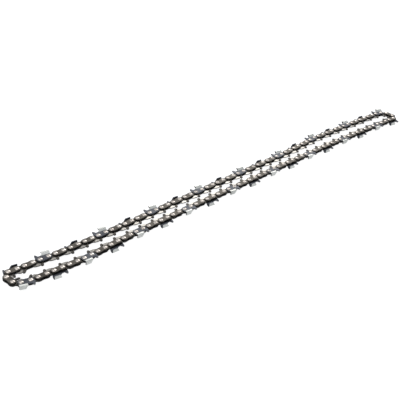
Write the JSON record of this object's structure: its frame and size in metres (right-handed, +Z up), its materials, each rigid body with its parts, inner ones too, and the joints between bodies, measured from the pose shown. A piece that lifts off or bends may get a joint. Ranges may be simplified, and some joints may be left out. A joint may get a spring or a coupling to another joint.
{
  "type": "chainsaw chain",
  "caption": "Closed loop of saw chain lying on its side: drive links between riveted tie straps, with cutters that alternate between the two sides.",
  "frame": {"origin": "middle of the loop, on the surface that the chain lies on", "axes": "+X along the loop's long axis towards its right end, +Y across the loop towards the rear run, +Z up, along the rivets"},
  "size_m": [0.6786, 0.0524, 0.0082],
  "materials": {
    "drive_link_steel": "blued and tumbled, polished on the lobes",
    "strap_steel": "blued and tumbled",
    "cutter_steel": "hard chrome plated",
    "rivet_steel": "bright peened heads"
  },
  "bodies": {
    "front_middle_stretch": {"front_middle_drive_links": "drive_link_steel", "front_middle_straps": "strap_steel", "front_middle_cutters": "cutter_steel", "front_middle_rivets": "rivet_steel"},
    "front_right_stretch": {"front_right_drive_links": "drive_link_steel", "front_right_straps": "strap_steel", "front_right_cutters": "cutter_steel", "front_right_rivets": "rivet_steel", "right_end_drive_link_3": "drive_link_steel", "right_end_lower_cutter": "cutter_steel", "right_end_lower_cutter_strap": "strap_steel", "right_end_lower_cutter_rivets": "rivet_steel", "right_end_drive_link_4": "drive_link_steel", "right_end_front_straps": "strap_steel", "right_end_front_rivets": "rivet_steel"},
    "front_left_stretch": {"front_left_drive_links": "drive_link_steel", "front_left_straps": "strap_steel", "front_left_cutters": "cutter_steel", "front_left_rivets": "rivet_steel", "left_end_front_straps": "strap_steel", "left_end_front_rivets": "rivet_steel", "left_end_drive_link_1": "drive_link_steel", "left_end_upper_cutter": "cutter_steel", "left_end_upper_cutter_strap": "strap_steel", "left_end_upper_cutter_rivets": "rivet_steel", "left_end_drive_link_2": "drive_link_steel"},
    "rear_right_stretch": {"rear_right_drive_links": "drive_link_steel", "rear_right_straps": "strap_steel", "rear_right_cutters": "cutter_steel", "rear_right_rivets": "rivet_steel", "right_end_rear_straps": "strap_steel", "right_end_rear_rivets": "rivet_steel", "right_end_drive_link_1": "drive_link_steel", "right_end_upper_cutter": "cutter_steel", "right_end_upper_cutter_strap": "strap_steel", "right_end_upper_cutter_rivets": "rivet_steel", "right_end_drive_link_2": "drive_link_steel"},
    "rear_middle_stretch": {"rear_middle_drive_links": "drive_link_steel", "rear_middle_straps": "strap_steel", "rear_middle_cutters": "cutter_steel", "rear_middle_rivets": "rivet_steel"},
    "rear_left_stretch": {"rear_left_drive_links": "drive_link_steel", "rear_left_straps": "strap_steel", "rear_left_cutters": "cutter_steel", "rear_left_rivets": "rivet_steel", "left_end_drive_link_3": "drive_link_steel", "left_end_lower_cutter": "cutter_steel", "left_end_lower_cutter_strap": "strap_steel", "left_end_lower_cutter_rivets": "rivet_steel", "left_end_drive_link_4": "drive_link_steel", "left_end_rear_straps": "strap_steel", "left_end_rear_rivets": "rivet_steel"},
    "right_end_nose_link": {"right_end_nose_straps": "strap_steel", "right_end_nose_rivets": "rivet_steel"},
    "left_end_nose_link": {"left_end_nose_straps": "strap_steel", "left_end_nose_rivets": "rivet_steel"}
  },
  "joints": [
    {"name": "loop_opening", "type": "hinge", "parent": "front_middle_stretch", "child": "front_right_stretch", "pos_m": [0.10077, -0.00765, 0.0041], "axis": [0, 0, 1], "range_deg": [0, 24]},
    {"name": "right_end_front_fold", "type": "hinge", "parent": "front_right_stretch", "child": "right_end_nose_link", "pos_m": [0.33537, -0.00593, 0.0041], "axis": [0, 0, 1], "range_deg": [-15.4, 0]},
    {"name": "right_end_rear_fold", "type": "hinge", "parent": "right_end_nose_link", "child": "rear_right_stretch", "pos_m": [0.33434, 0.00431, 0.0041], "axis": [0, 0, 1], "range_deg": [-30.78, 0]},
    {"name": "rear_middle_fold", "type": "hinge", "parent": "rear_right_stretch", "child": "rear_middle_stretch", "pos_m": [0.10001, 0.01209, 0.0041], "axis": [0, 0, 1], "range_deg": [0, 22.09]},
    {"name": "front_left_fold", "type": "hinge", "parent": "front_middle_stretch", "child": "front_left_stretch", "pos_m": [-0.10002, -0.01039, 0.0041], "axis": [0, 0, -1], "range_deg": [0, 22.16]},
    {"name": "left_end_front_fold", "type": "hinge", "parent": "front_left_stretch", "child": "left_end_nose_link", "pos_m": [-0.33434, -0.00593, 0.0041], "axis": [0, 0, -1], "range_deg": [-15.62, 0]},
    {"name": "left_end_rear_fold", "type": "hinge", "parent": "left_end_nose_link", "child": "rear_left_stretch", "pos_m": [-0.33537, 0.00431, 0.0041], "axis": [0, 0, -1], "range_deg": [-30.57, 0]}
  ],
  "couplings": [
    {"joint": "right_end_front_fold", "follows": "loop_opening", "ratio": -0.64176},
    {"joint": "right_end_rear_fold", "follows": "loop_opening", "ratio": -1.2823},
    {"joint": "rear_middle_fold", "follows": "loop_opening", "ratio": 0.92035},
    {"joint": "front_left_fold", "follows": "loop_opening", "ratio": 0.9232},
    {"joint": "left_end_front_fold", "follows": "loop_opening", "ratio": -0.65085},
    {"joint": "left_end_rear_fold", "follows": "loop_opening", "ratio": -1.2736}
  ]
}
